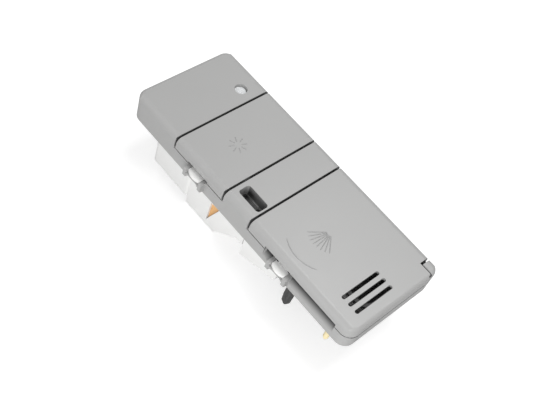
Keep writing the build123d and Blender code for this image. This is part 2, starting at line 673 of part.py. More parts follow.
def rinse_aid_tank():
    y = along(FILLER_OFF)
    tank = Pos(0, 0, TANK_BOTTOM_Z) * extrude(tank_plan(0), TANK_TOP_Z - TANK_BOTTOM_Z)
    hollow = Pos(0, 0, TANK_BOTTOM_Z + TANK_WALL) * extrude(
        tank_plan(TANK_WALL), TANK_TOP_Z - TANK_BOTTOM_Z - 2 * TANK_WALL)
    tank = tank - hollow
    tank += post(FILLER_X, y, TANK_TOP_Z - 1, DECK_UNDER - TANK_GASKET_T, FILLER_R + FILLER_WALL)
    tank -= post(FILLER_X, y, TANK_TOP_Z - 2 * TANK_WALL, DECK_UNDER, FILLER_R)
    tank -= post(WINDOW_X, along(WINDOW_OFF), 0, FACE_H, LIGHT_GUIDE_R + LIGHT_GUIDE_CLEAR)
    tank += post(FLOAT_X, FLOAT_Y, TANK_BOTTOM_Z + 1, TANK_TOP_Z - 1, FLOAT_ROD_R)
    for x, sy, _, _, _ in SCREW_PLACES[2:4]:
        well_r = SCREW_HEAD_R + SCREW_WELL_CLEAR
        tank += post(x, sy, TANK_BOTTOM_Z + 1, TANK_TOP_Z - TANK_WALL / 2, well_r + SCREW_WELL_WALL)
        tank -= post(x, sy, TANK_BOTTOM_Z - 1, TANK_TOP_Z - TANK_WALL, well_r)
        tank -= post(x, sy, TANK_BOTTOM_Z, TANK_TOP_Z + 1, SCREW_R + SCREW_CLEAR)
    return tank


def tank_gasket():
    y = along(FILLER_OFF)
    ring = post(FILLER_X, y, DECK_UNDER - TANK_GASKET_T, DECK_UNDER, FILLER_R + FILLER_WALL)
    return ring - post(FILLER_X, y, DECK_UNDER - 2 * TANK_GASKET_T, DECK_UNDER + 1, FILLER_R)


def level_float():
    body = post(FLOAT_X, FLOAT_Y, FLOAT_Z, FLOAT_Z + FLOAT_H, FLOAT_R)
    body = fillet(body.edges().filter_by(GeomType.CIRCLE), FLOAT_EDGE_R)
    return body - post(FLOAT_X, FLOAT_Y, FLOAT_Z - 1, FLOAT_Z + FLOAT_H + 1, FLOAT_ROD_R + FLOAT_CLEAR)


def reed_switch():
    y = FLOAT_Y
    low = TANK_BOTTOM_Z - REED_H
    case = block(FLOAT_X - REED_L / 2, FLOAT_X + REED_L / 2, y - REED_W / 2, y + REED_W / 2,
                 low, TANK_BOTTOM_Z)
    case = fillet(case.edges().filter_by(Axis.Z), REED_W / 6)
    for tab_y in (y - REED_TAB_PITCH / 2, y + REED_TAB_PITCH / 2):
        case += block(FLOAT_X, FLOAT_X + REED_L / 2 + REED_TAB_L, tab_y - TAB_T / 2, tab_y + TAB_T / 2,
                      low + REED_H / 4, low + 3 * REED_H / 4)
    return case


def actuator_profile(inset):
    """Side view of the actuator housing: deep over the coil, chamfered towards the lever guard."""
    y1 = along(TANK_STEP_OFF) - ACTUATOR_GAP - inset
    y0 = along(ACTUATOR_END_OFF) + inset
    low = ACTUATOR_BOTTOM_Z + inset
    shelf = COIL_Z + SHELF_RISE + inset
    return ((y1, ACTUATOR_TOP_Z), (y1, low), (COIL_Y - ACTUATOR_DEEP, low),
            (COIL_Y - ACTUATOR_SLOPE, shelf - SLOPE_STEP), (COIL_Y - ACTUATOR_SHELF, shelf), (y0, shelf),
            (y0, ACTUATOR_TOP_Z))


def actuator_housing():
    shell = prism_x(actuator_profile(0), REAR_X, ACTUATOR_X1)
    shell -= prism_x(actuator_profile(TANK_WALL), REAR_X + TANK_WALL, ACTUATOR_X1 - TANK_WALL)
    sight_hole = [(COIL_Y + dy, COIL_Z + dz) for dy, dz in SIGHT_HOLE]
    shell -= prism_x(sight_hole, REAR_X - 1, REAR_X + TANK_WALL + 1)
    shell -= bar_x(ACTUATOR_X1 - 2 * TANK_WALL, ACTUATOR_X1 + 1, COIL_Y, COIL_Z,
                   PLUNGER_R + PLUNGER_HOLE_CLEAR)
    for x, y, z, clamped, _ in SCREW_PLACES[:2]:
        half = SCREW_LUG_W / 2
        shell += block(x - half, x + half, y - half, y + half, z - clamped, z)
        shell -= post(x, y, z - clamped - 1, z + 1, SCREW_R + SCREW_CLEAR)
    half_x = TAB_W / 2 + TAB_ROOM
    half_y = TAB_PITCH / 2 + TAB_T / 2 + TAB_ROOM
    return shell - block(TERMINAL_X - half_x, TERMINAL_X + half_x, TERMINAL_Y - half_y, TERMINAL_Y + half_y,
                         ACTUATOR_BOTTOM_Z - 1, COIL_Z)


def solenoid_bobbin():
    x0 = COIL_X0
    x1 = COIL_X0 + COIL_LEN
    spool = bar_x(x0, x1, COIL_Y, COIL_Z, BOBBIN_TUBE_R)
    for start in (x0, x1 - BOBBIN_FLANGE_T):
        spool += bar_x(start, start + BOBBIN_FLANGE_T, COIL_Y, COIL_Z, COIL_R + BOBBIN_FLANGE_STEP)
    foot = block(x0, x1, COIL_Y - BOBBIN_FOOT_LOW, COIL_Y + BOBBIN_FOOT_HIGH,
                 ACTUATOR_BOTTOM_Z + TANK_WALL, COIL_Z - COIL_R - BOBBIN_FOOT_GAP)
    ends = block(x0, x0 + BOBBIN_FLANGE_T, COIL_Y - BOBBIN_END_W / 2, COIL_Y + BOBBIN_END_W / 2,
                 COIL_Z - COIL_R - BOBBIN_END_DROP, COIL_Z)
    ends += Pos(COIL_LEN - BOBBIN_FLANGE_T, 0, 0) * ends
    spool += foot + ends + bobbin_cover()
    return spool - bar_x(x0 - 1, x1 + 1, COIL_Y, COIL_Z, PLUNGER_R + PLUNGER_CLEAR)


def bobbin_cover():
    """A plate outside the yoke, seen through the sight hole, tied to the bobbin past both edges."""
    x1 = COIL_X0 - YOKE_T - COVER_GAP
    tie = 2 * COVER_T
    half = YOKE_W / 2 + COVER_GAP
    y0 = COIL_Y - half - tie
    y1 = COIL_Y + half + tie
    low = COIL_Z - COIL_R + tie
    cover = prism_x(((y0, low), (COIL_Y - ACTUATOR_DEEP / 2, ACTUATOR_BOTTOM_Z + 2 * TANK_WALL),
                     (y1, ACTUATOR_BOTTOM_Z + 2 * TANK_WALL), (y1, COIL_Z + COIL_R), (y0, COIL_Z + COIL_R)),
                    x1 - COVER_T, x1)
    for start in (y0, y1 - tie):
        cover += block(x1 - COVER_T, COIL_X0 + BOBBIN_FLANGE_T / 2, start, start + tie,
                       COIL_Z - COIL_R / 2, COIL_Z + COIL_R / 2)
    return cover


def coil_winding():
    x0 = COIL_X0 + BOBBIN_FLANGE_T
    x1 = COIL_X0 + COIL_LEN - BOBBIN_FLANGE_T
    return bar_x(x0, x1, COIL_Y, COIL_Z, COIL_R) - bar_x(x0, x1, COIL_Y, COIL_Z, BOBBIN_TUBE_R)


def solenoid_yoke():
    """A folded steel strap over the coil, bored for the plunger at its open end."""
    x0 = COIL_X0 - YOKE_T
    x1 = COIL_X0 + COIL_LEN + YOKE_T
    z1 = COIL_Z + COIL_R + YOKE_GAP + YOKE_T
    low = COIL_Z - YOKE_DROP
    strap = block(x0, x1, COIL_Y - YOKE_W / 2, COIL_Y + YOKE_W / 2, low, z1)
    strap -= block(COIL_X0, x1 - YOKE_T, COIL_Y - YOKE_W, COIL_Y + YOKE_W, low - 1, z1 - YOKE_T)
    return strap - bar_x(x1 - 2 * YOKE_T, x1 + 1, COIL_Y, COIL_Z, PLUNGER_R + PLUNGER_CLEAR)


def terminal_tabs():
    """Two flat blades on a carrier beside the coil."""
    tabs = []
    for y in (TERMINAL_Y - TAB_PITCH / 2, TERMINAL_Y + TAB_PITCH / 2):
        tabs.append(block(TERMINAL_X - TAB_W / 2, TERMINAL_X + TAB_W / 2, y - TAB_T / 2, y + TAB_T / 2,
                          ACTUATOR_BOTTOM_Z + TANK_WALL, COIL_Z - TAB_SINK))
    return Compound(children=tabs)


def terminal_carrier():
    """A block that holds the blades, tied to the yoke's edge round the winding."""
    floor = COIL_Z - TAB_SINK
    x0 = TERMINAL_X - CARRIER_W / 2
    x1 = TERMINAL_X + CARRIER_W / 2
    edge = TERMINAL_Y + TAB_PITCH / 2 + TAB_T + TAB_ROOM
    carrier = block(x0, x1, 2 * TERMINAL_Y - edge, edge, floor, floor + CARRIER_T)
    carrier += block(x0, x1, edge, COIL_Y - YOKE_W / 2 - PIN_CLEAR, floor, floor + CARRIER_T)
    return carrier - bar_x(x0 - 1, x1 + 1, COIL_Y, COIL_Z, COIL_R + PIN_CLEAR)


def solenoid_plunger():
    """The plunger with a collar for its spring, a drive post for the lever and a rod to the pump."""
    x0 = COIL_X0 + PLUNGER_IN
    rod = bar_x(x0, POST_X + COLLAR_FRONT, COIL_Y, COIL_Z, PLUNGER_R)
    rod += bar_x(POST_X - COLLAR_BACK, POST_X + COLLAR_FRONT, COIL_Y, COIL_Z, PLUNGER_R + COLLAR_STEP)
    rod += post(POST_X, COIL_Y, COIL_Z, LEVER_Z + LEVER_T + POST_PROUD, DRIVE_PIN_R)
    return rod + bar_x(POST_X, PUMP_X + PISTON_IN, COIL_Y, COIL_Z, PISTON_ROD_R)


def plunger_return_spring():
    wire_r = RETURN_SPRING_WIRE_R
    length = POST_X - COLLAR_BACK - ACTUATOR_X1 - 3 * wire_r
    return Pos(ACTUATOR_X1 + 1.5 * wire_r, COIL_Y, COIL_Z) * Rot(0, 90, 0) * helix_spring(
        PLUNGER_R + RETURN_SPRING_STEP, wire_r, length, RETURN_SPRING_TURNS)


def dosing_piston():
    """The pump's disc with a groove for its seal."""
    x0 = PUMP_X + PISTON_IN
    groove_x0 = x0 + PISTON_GROOVE_IN
    groove_x1 = groove_x0 + PISTON_GROOVE_W
    disc = bar_x(x0, x0 + PISTON_T, COIL_Y, COIL_Z, PUMP_R - PISTON_CLEAR)
    groove = bar_x(groove_x0, groove_x1, COIL_Y, COIL_Z, PUMP_R)
    groove -= bar_x(groove_x0, groove_x1, COIL_Y, COIL_Z, PUMP_R - PISTON_GROOVE_DEPTH)
    return disc - groove


def piston_seal():
    """A ring in the piston's groove."""
    groove_x0 = PUMP_X + PISTON_IN + PISTON_GROOVE_IN
    groove_x1 = groove_x0 + PISTON_GROOVE_W
    ring = bar_x(groove_x0 + PISTON_SEAL_SLIP, groove_x1 - PISTON_SEAL_SLIP, COIL_Y, COIL_Z,
                 PUMP_R - PISTON_SEAL_CLEAR)
    return ring - bar_x(groove_x0, groove_x1, COIL_Y, COIL_Z,
                        PUMP_R - PISTON_GROOVE_DEPTH + PISTON_SEAL_SLIP)


def dosing_cylinder():
    """The pump barrel, carried on the tank's wall by its inlet stub."""
    x1 = PUMP_X + PUMP_LEN
    half = PUMP_STUB_W / 2
    outlet_top = COIL_Z + PUMP_R + PUMP_OUTLET_H
    barrel = bar_x(PUMP_X, x1, COIL_Y, COIL_Z, PUMP_R + PUMP_WALL)
    tank_y = along(TANK_END_OFF)
    barrel += block(x1 - PUMP_STUB_W, x1, COIL_Y, tank_y, COIL_Z - half, COIL_Z + half)
    barrel += post(x1 - half, COIL_Y, COIL_Z, outlet_top, PUMP_OUTLET_R + PUMP_OUTLET_WALL)
    barrel -= bar_x(PUMP_X - 1, x1 - PUMP_WALL, COIL_Y, COIL_Z, PUMP_R)
    return barrel - post(x1 - half, COIL_Y, COIL_Z, outlet_top + 1, PUMP_OUTLET_R)


def arm(xa, ya, xb, yb):
    """A flat bar with round ends between two points."""
    mid_x = (xa + xb) / 2
    mid_y = (ya + yb) / 2
    span = Vector(xb - xa, yb - ya)
    bar = Rot(0, 0, degrees(atan2(span.Y, span.X))) * SlotCenterToCenter(span.length, LEVER_W)
    return extrude(Pos(mid_x, mid_y, LEVER_Z) * bar, LEVER_T)


def eye_slot(x, y, slip):
    """A slot along Y for a drive pin, with room for the pin to slip as the lever turns."""
    width = 2 * (DRIVE_PIN_R + DRIVE_PIN_CLEAR)
    hole = Pos(x, y, LEVER_Z - 1) * Rot(0, 0, 90) * SlotOverall(width + 2 * slip, width)
    return extrude(hole, LEVER_T + 2)


def release_lever():
    """A rocker that ties the plunger's post to the detergent latch's peg."""
    lever = arm(PIVOT_X, PIVOT_Y, PEG_X, DETERGENT_LATCH_Y) + arm(PIVOT_X, PIVOT_Y, POST_X, COIL_Y)
    swing = LATCH_TRAVEL / (PIVOT_Y - DETERGENT_LATCH_Y)
    lever += post(POST_X, COIL_Y, LEVER_Z, LEVER_Z + LEVER_T, LEVER_EYE_R)
    lever += post(PEG_X, DETERGENT_LATCH_Y, LEVER_Z, LEVER_Z + LEVER_T, LEVER_PEG_EYE_R)
    lever -= post(PIVOT_X, PIVOT_Y, 0, FACE_H, PIVOT_R + PIN_CLEAR)
    lever -= eye_slot(POST_X, COIL_Y, swing * (POST_X - PIVOT_X))
    return lever - eye_slot(PEG_X, DETERGENT_LATCH_Y, swing * (PIVOT_X - PEG_X))


def lever_pivot_pin():
    seat = LEVER_Z - LEVER_GAP
    pin = post(PIVOT_X, PIVOT_Y, seat - PIVOT_HEAD_T / 2, WELL_UNDER - 2 * WELL_SLIP, PIVOT_R)
    return pin + post(PIVOT_X, PIVOT_Y, seat - PIVOT_HEAD_T, seat, PIVOT_R + PIVOT_HEAD_STEP)


def guard_profile(inset):
    """Side view of the lever guard: a wedge that thins towards the latch."""
    y1 = along(ACTUATOR_END_OFF) - ACTUATOR_GAP - inset
    y0 = along(GUARD_END_OFF) + inset
    return ((y1, GUARD_TOP_Z), (y1, GUARD_DEEP_Z + inset), (y0 + GUARD_SLANT, GUARD_SHALLOW_Z + inset),
            (y0, GUARD_SHALLOW_Z + GUARD_LIP), (y0, GUARD_TOP_Z))


def lever_guard():
    """A deep wedge-shaped cover under the lever's latch arm, open towards the deck."""
    x1 = REAR_X + GUARD_W
    guard = prism_x(guard_profile(0), REAR_X, x1)
    guard -= prism_x(guard_profile(TANK_WALL), REAR_X + TANK_WALL, x1 - TANK_WALL)
    x, y, z, clamped, _ = SCREW_PLACES[4]
    half = SCREW_LUG_W / 2
    guard += block(x1 - TANK_WALL / 2, x + half, y - half, y + half, z - clamped, z)
    return guard - post(x, y, z - 2 * clamped, z + 1, SCREW_R + SCREW_CLEAR)


def latch(latch_y, with_peg):
    """A push button with a crowned outer edge, a sliding stem and an upright nose."""
    top = DECK_Z
    low = DECK_Z - LATCH_T
    half = LATCH_L / 2
    edge = LEFT - LATCH_OUT
    shoulder = edge + LATCH_CROWN
    crown = Polyline((LEFT + WALL / 2, latch_y - half), (shoulder, latch_y - half))
    crown += ThreePointArc((shoulder, latch_y - half), (edge, latch_y), (shoulder, latch_y + half))
    crown += Polyline((shoulder, latch_y + half), (LEFT + WALL / 2, latch_y + half),
                      (LEFT + WALL / 2, latch_y - half))
    button = Pos(0, 0, low) * extrude(make_face(crown), LATCH_T)
    stem_end = LEFT + LATCH_STEM_IN - LATCH_TRAVEL
    piece = button + block(LEFT, stem_end, latch_y - LATCH_STEM_W / 2, latch_y + LATCH_STEM_W / 2, low, top)
    nose_x = LEFT + SKIN + CATCH_REACH + NOSE_GAP
    nose_top = SEAM_Z + FLANGE_RISE + SKIN + NOSE_RISE
    piece += block(nose_x, stem_end, latch_y - LATCH_STEM_W / 2, latch_y + LATCH_STEM_W / 2, low, nose_top)
    if with_peg:
        piece += post(PEG_X, latch_y, LEVER_Z - LEVER_GAP, DECK_Z - LATCH_T / 2, DRIVE_PIN_R)
    return piece


def latch_spring(latch_y):
    wire_r = LATCH_SPRING_WIRE_R
    x0 = LEFT + LATCH_STEM_IN - LATCH_TRAVEL + 1.5 * wire_r
    length = LATCH_SPRING_LEN + LATCH_TRAVEL - 3 * wire_r
    z = DECK_Z - LATCH_T / 2
    return Pos(x0, latch_y, z) * Rot(0, 90, 0) * helix_spring(
        LATCH_SPRING_R, wire_r, length, LATCH_SPRING_TURNS)


def hinge_pin(y0, y1):
    return bar_y(y0, y1, HINGE_X, HINGE_Z, PIN_R)


def detergent_lid_spring():
    """A torsion spring wound round the hinge pin."""
    y = (DETERGENT_Y1 + KNUCKLE_Y) / 2
    coil_r = PIN_R + 1.75 * HINGE_SPRING_WIRE_R
    spring = helix_spring(coil_r, HINGE_SPRING_WIRE_R, HINGE_SPRING_LEN, HINGE_SPRING_TURNS)
    return Pos(HINGE_X, y, HINGE_Z) * Rot(90, 0, 0) * spring


def ring_seal(x0, x1, y0, y1, z0, z1, r, width):
    """A ring of a given width over a rounded rectangle."""
    half = width / 2
    outer = tray(x0 - half, x1 + half, y0 - half, y1 + half, z0, z1, r + half)
    return outer - tray(x0 + half, x1 - half, y0 + half, y1 - half, z0 - 1, z1 + 1, r - half)


def detergent_lid_seal():
    """A ring under the lid that closes on the cup's rim."""
    half = CUP_WALL / 2
    return ring_seal(CUP_X0 - half, CUP_X1 + half, DETERGENT_Y0 + CUP_END_ROOM - half,
                     DETERGENT_Y1 - CUP_TOP_ROOM + half, CUP_RIM_Z + SEAL_GAP, FACE_H - SKIN,
                     CUP_R + half, SEAL_W)


def filler_plug_seal():
    """A round seal on the rinse-aid lid's plug that closes on the filler rim."""
    y = along(FILLER_OFF)
    z0 = DECK_Z + FILLER_RIM_H + SEAL_GAP
    ring = post(FILLER_X, y, z0, FACE_H - SKIN, FILLER_R + FILLER_WALL)
    return ring - post(FILLER_X, y, z0 - 1, FACE_H, FILLER_R - 3 * SKIN)


def dosing_dial():
    """A dial with a finger bar and a shaft through the deck."""
    y = along(DIAL_OFF)
    dial = post(DIAL_X, y, DECK_Z + DIAL_LIFT, DECK_Z + DIAL_H, DIAL_R)
    dial = fillet(dial.faces().sort_by(Axis.Z)[-1].edges(), DIAL_EDGE_R)
    dial += Pos(DIAL_X, y, DECK_Z + DIAL_H) * Box(
        2 * (DIAL_R - DIAL_GRIP_ROOM), DIAL_GRIP_W, 2 * DIAL_GRIP_RISE)
    return dial + post(DIAL_X, y, DECK_UNDER - DIAL_SHAFT_PROUD, DECK_Z + 1, DIAL_SHAFT_R)


def door_gasket():
    """The seal inside the skirt that stands proud of the door seat."""
    inset = WALL + GASKET_W / 2 + GASKET_CLEAR
    return ring_seal(LEFT + inset, RIGHT - inset, -PANEL_L / 2 + inset, PANEL_L / 2 - inset,
                     -GASKET_PROUD, GASKET_H, PLAN_R - inset + GASKET_CORNER, GASKET_W)


def retaining_pegs():
    """Two fluted eight-sided pegs with spurs and tapered noses that snap through the door panel."""
    pegs = []
    for side in (-1, 1):
        x = side * (RIGHT - RETAINING_PEG_INSET)
        y = RETAINING_PEG_Y
        socket_end = DECK_UNDER - SOCKET_ROOF - SOCKET_END_GAP
        neck = post(x, y, -0.5, socket_end, RETAINING_PEG_R / 2 - SOCKET_SLIP)
        low = RETAINING_PEG_END_Z
        levels = (0, low + PEG_TAPER, low + PEG_NOSE, low)
        sections = [Pos(x, y, z) * RegularPolygon(RETAINING_PEG_R * share, PEG_SIDES)
                    for z, share in zip(levels, PEG_SHARES)]
        peg = neck + loft(sections, ruled=True)
        for dx, dy in ((1, 0), (-1, 0), (0, 1), (0, -1)):
            peg -= post(x + dx * RETAINING_PEG_R, y + dy * RETAINING_PEG_R, low - 1, low / 3, PEG_FLUTE_R)
        tip_x = x + side * (RETAINING_PEG_R + PEG_SPUR)
        peg += block(min(x, tip_x), max(x, tip_x), y - PEG_FLUTE_R, y + PEG_FLUTE_R, low / 3, low / 6)
        pegs.append(peg)
    return Compound(children=pegs)


def end_locating_pin():
    x = LEFT + LOCATING_PIN_INSET
    y = LOCATING_PIN_Y
    low = LOCATING_PIN_END_Z
    socket_end = DECK_UNDER - SOCKET_ROOF - SOCKET_END_GAP
    shaft = post(x, y, low + LOCATING_TIP_L, 0, LOCATING_PIN_R)
    tip = Pos(x, y, low + LOCATING_TIP_L / 2) * Cone(LOCATING_PIN_R / 2, LOCATING_PIN_R, LOCATING_TIP_L)
    return shaft + tip + post(x, y, -1, socket_end, LOCATING_PIN_R / 2 - SOCKET_SLIP)


def housing_screws():
    """Screws driven from behind into the deck's bosses."""
    screws = []
    for x, y, z, clamped, _ in SCREW_PLACES:
        seat = z - clamped
        tip = seat + SCREW_LEN - SCREW_TIP_ROOM
        shank = post(x, y, seat - SCREW_HEAD_T / 2, tip, SCREW_R - SCREW_SLIP)
        screws.append(shank + post(x, y, seat - SCREW_HEAD_T, seat, SCREW_HEAD_R - SCREW_HEAD_SLIP))
    return Compound(children=screws)


NODES = {
    "front_housing": front_housing,
    "well_cup": well_cup,
    "filler_collar": filler_collar,
    "level_window": level_window,
    "rinse_aid_tank": rinse_aid_tank,
    "tank_gasket": tank_gasket,
    "level_float": level_float,
    "reed_switch": reed_switch,
    "actuator_housing": actuator_housing,
    "solenoid_bobbin": solenoid_bobbin,
    "coil_winding": coil_winding,
    "solenoid_yoke": solenoid_yoke,
    "terminal_tabs": terminal_tabs,
    "terminal_carrier": terminal_carrier,
    "solenoid_plunger": solenoid_plunger,
    "plunger_return_spring": plunger_return_spring,
    "dosing_piston": dosing_piston,
    "piston_seal": piston_seal,
    "dosing_cylinder": dosing_cylinder,
    "release_lever": release_lever,
    "lever_pivot_pin": lever_pivot_pin,
    "lever_guard": lever_guard,
    "detergent_lid": detergent_lid,
    "detergent_lid_seal": detergent_lid_seal,
    "detergent_lid_spring": detergent_lid_spring,
    "detergent_hinge_pin": lambda: hinge_pin(DETERGENT_Y0 + SKIN, DETERGENT_Y1 + PIN_SEAT),
    "rinse_aid_lid": rinse_aid_lid,
    "filler_plug_seal": filler_plug_seal,
    "rinse_aid_hinge_pin": lambda: hinge_pin(RINSE_Y0 - PIN_SEAT, RINSE_Y1 + PIN_SEAT),
    "detergent_latch": lambda: latch(DETERGENT_LATCH_Y, True),
    "detergent_latch_spring": lambda: latch_spring(DETERGENT_LATCH_Y),
    "rinse_aid_latch": lambda: latch(RINSE_LATCH_Y, False),
    "rinse_aid_latch_spring": lambda: latch_spring(RINSE_LATCH_Y),
    "dosing_dial": dosing_dial,
    "door_gasket": door_gasket,
    "retaining_pegs": retaining_pegs,
    "end_locating_pin": end_locating_pin,
    "housing_screws": housing_screws,
}

os.makedirs("parts", exist_ok=True)
for name, make in NODES.items():
    export_step(make(), f"parts/{name}.step")
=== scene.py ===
"""Finish, signs and stage of a dishwasher detergent dispenser."""

import bpy
import numpy as np
from bpy.props import FloatProperty, FloatVectorProperty, IntProperty, PointerProperty
from mathutils import Matrix, Vector


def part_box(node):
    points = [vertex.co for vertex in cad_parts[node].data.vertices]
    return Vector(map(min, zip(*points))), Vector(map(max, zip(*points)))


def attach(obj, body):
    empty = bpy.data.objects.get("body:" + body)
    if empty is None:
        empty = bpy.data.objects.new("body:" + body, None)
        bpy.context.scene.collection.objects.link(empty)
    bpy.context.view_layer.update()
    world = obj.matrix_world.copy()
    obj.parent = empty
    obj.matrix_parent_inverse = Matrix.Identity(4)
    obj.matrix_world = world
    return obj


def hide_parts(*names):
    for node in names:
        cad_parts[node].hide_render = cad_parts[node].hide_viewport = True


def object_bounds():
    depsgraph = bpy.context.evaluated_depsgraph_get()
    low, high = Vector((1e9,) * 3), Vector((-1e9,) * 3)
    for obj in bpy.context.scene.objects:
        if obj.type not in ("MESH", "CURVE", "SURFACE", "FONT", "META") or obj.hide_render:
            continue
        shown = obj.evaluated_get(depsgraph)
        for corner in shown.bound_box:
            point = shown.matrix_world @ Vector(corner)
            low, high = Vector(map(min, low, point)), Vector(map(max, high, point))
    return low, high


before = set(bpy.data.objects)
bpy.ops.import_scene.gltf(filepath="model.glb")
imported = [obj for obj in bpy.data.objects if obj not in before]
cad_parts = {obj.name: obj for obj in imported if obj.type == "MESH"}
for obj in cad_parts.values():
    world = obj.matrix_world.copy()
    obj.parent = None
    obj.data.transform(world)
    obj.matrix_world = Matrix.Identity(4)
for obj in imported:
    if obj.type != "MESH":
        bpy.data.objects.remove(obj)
CAD_BOX = [list(corner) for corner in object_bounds()]

bl_info = {
    "name": "Detergent dispenser finish",
    "version": (1, 0, 0),
    "blender": (4, 5, 0),
    "location": "3D View > Sidebar > Dispenser",
    "description": "Dresses a dishwasher dispenser with moulded finishes, lid signs and a studio stage",
    "category": "Object",
}

MM = 0.001
HAIR = 0.05 * MM
THIN = 0.3 * MM
SEAM_GAP = 1.9 * MM
WELL_WALL = 1.4 * MM
SCOOP_DEEP = 4.2 * MM
SCOOP_ROOM = 14.0 * MM
SCOOP_TOP = -32.0 * MM
SCOOP_BACK_Z = 4.0 * MM
DECK_Z = 11.7 * MM
KNUCKLE_LEN = 10.4 * MM
KNUCKLE_IN = 12.3 * MM
KNUCKLE_SEAM = 3.2 * MM
# Patch of painted shade on the deck under the vents: inset from the lid's side, width, inset from the lower
# end and length.
VENT_SHADE_IN = 8.0 * MM
VENT_SHADE_W = 16.0 * MM
VENT_SHADE_ROOM = 6.0 * MM
VENT_SHADE_L = 26.0 * MM
FACE_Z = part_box("detergent_lid")[1].z

# Photograph's frame and the camera that took it, in metres and in the object's own axes
PHOTO_W = 557
FOCAL_PX = 896.57
SENSOR_MM = 36.0
CAMERA_PLACE = (-0.34357, -0.20296, 0.51817)
CAMERA_RIGHT = (0.72948, -0.6433, 0.23228)
CAMERA_UP = (0.44326, 0.70331, 0.5558)
CAMERA_BACK = (-0.52093, -0.30252, 0.79821)

# CAD nodes by finish
FINISHES = {
    "grey_moulding": ("front_housing", "well_cup", "filler_collar", "detergent_lid", "rinse_aid_lid"),
    "white_moulding": ("rinse_aid_tank", "actuator_housing", "lever_guard", "release_lever",
                       "dosing_cylinder", "dosing_piston", "level_float", "terminal_carrier",
                       "dosing_dial"),
    "latch_white": ("detergent_latch", "rinse_aid_latch"),
    "clear_window": ("level_window",),
    "black_rubber": ("tank_gasket", "detergent_lid_seal", "filler_plug_seal", "door_gasket",
                     "piston_seal"),
    "drawn_steel": ("solenoid_yoke", "solenoid_plunger", "plunger_return_spring", "lever_pivot_pin",
                    "detergent_lid_spring", "detergent_latch_spring", "rinse_aid_latch_spring",
                    "housing_screws"),
    "blackened_steel": ("detergent_hinge_pin", "rinse_aid_hinge_pin"),
    "tan_moulding": ("solenoid_bobbin",),
    "taped_winding": ("coil_winding",),
    "tinned_brass": ("terminal_tabs",),
    "dark_moulding": ("retaining_pegs", "reed_switch"),
    "yellow_moulding": ("end_locating_pin",),
}


def colour(name, note, default):
    return FloatVectorProperty(name=name, description=note, default=default, size=3,
                               subtype="COLOR", min=0, max=1)


def length(name, note, default):
    return FloatProperty(name=name, description=note, default=default,
                         unit="LENGTH", subtype="DISTANCE", min=0)


def position(name, note, default):
    return FloatVectorProperty(name=name, description=note, default=default, size=len(default),
                               subtype="XYZ", unit="LENGTH")


def heading(name, note, default):
    return FloatProperty(name=name, description=note, default=np.radians(default),
                         unit="ROTATION", subtype="ANGLE")


def number(name, note, default):
    return IntProperty(name=name, description=note, default=default, min=2)


def wattage(name, note, default):
    return FloatProperty(name=name, description=note, default=default, unit="POWER", min=0)


class FinishSettings(bpy.types.PropertyGroup):
    """Colours of the mouldings, as linear values."""
    grey: colour("Panel grey", "Front housing and lids", (0.434, 0.434, 0.43))
    white: colour("Rear white", "Tank, actuator housing and guard", (0.92, 0.92, 0.91))
    # Darker than the panel grey, as painted shade on the raised strokes of the lid signs and the dial
    # scale.
    sign: colour("Sign grey", "Embossed strokes on the lids", (0.36, 0.36, 0.357))
    latch: colour("Latch white", "Push buttons", (0.95, 0.95, 0.94))
    tan: colour("Tan", "Bobbin and winding tape", (0.78, 0.46, 0.2))
    dark: colour("Dark grey", "Retaining pegs", (0.06, 0.06, 0.06))
    # Tint of the painted shade in the seams, scoops, lower end and outlet well; the well rib's painted
    # highlight is a lighter multiple of it.
    painted_shading: colour("Seam shade", "Painted shade in the seams and scoops", (0.03, 0.03, 0.03))
    yellow: colour("Pale yellow", "Locating pin", (0.95, 0.82, 0.5))


class SignSettings(bpy.types.PropertyGroup):
    """Sizes of the embossed lid signs."""
    stroke_width: length("Stroke width", "Width of an embossed stroke", 0.75 * MM)
    stroke_height: length("Stroke height", "How far a stroke stands out of the lid", 0.22 * MM)
    sun_centre: position("Sun centre", "Middle of the rinse-aid sign", (-0.0102, 0.0413))
    sun_inner: length("Sun inner radius", "Where its strokes start", 2.6 * MM)
    sun_outer: length("Sun outer radius", "Where its strokes end", 7.4 * MM)
    sun_strokes: number("Sun strokes", "Strokes of the rinse-aid sign", 8)
    fan_centre: position("Fan apex", "Where the detergent sign's rays meet", (-0.0023, -0.0518))
    fan_inner: length("Fan inner radius", "Where its rays start", 3.0 * MM)
    fan_outer: length("Fan outer radius", "Where its rays end", 18.0 * MM)
    fan_rays: number("Fan rays", "Rays of the detergent sign", 8)
    fan_start: heading("Fan start", "Direction of its first ray, and where the bowl line starts", 146)
    fan_end: heading("Fan end", "Direction of its last ray", 222)
    bowl_shift: position("Bowl shift", "From the fan's apex to the bowl line's centre",
                         (-8.0 * MM, -0.6 * MM))
    bowl_radius: length("Bowl radius", "Radius of the bowl line", 26.5 * MM)
    bowl_end: heading("Bowl end", "Where the bowl line ends", 217)


class DetailSettings(bpy.types.PropertyGroup):
    """Sizes of the dial's scale, the window's dome and the coil's turns."""
    scale_marks: number("Scale marks", "Strokes of the dosing scale", 6)
    scale_swing: heading("Scale swing", "How far the scale reaches to either side", 75)
    scale_gap: length("Scale gap", "Room between the dial and its scale", 2.2 * MM)
    scale_length: length("Scale length", "Length of the longest stroke", 4.0 * MM)
    scale_width: length("Scale width", "Width of a stroke", 0.9 * MM)
    scale_height: length("Scale height", "How far a stroke stands out of the deck", 0.3 * MM)
    dome_share: FloatProperty(name="Dome share", description="Dome radius as a share of the lens radius",
                              default=0.78, min=0.1, max=1, subtype="FACTOR")
    dome_rise: length("Dome rise", "Height of the dome over the lens", 0.9 * MM)
    coil_bore: length("Coil bore", "Radius of the hole through the winding", 4.8 * MM)
    wire_pitch: length("Wire pitch", "Step from one turn of wire to the next", 0.8 * MM)
    wire_dip: length("Wire dip", "Depth of the valley between two turns", 0.16 * MM)


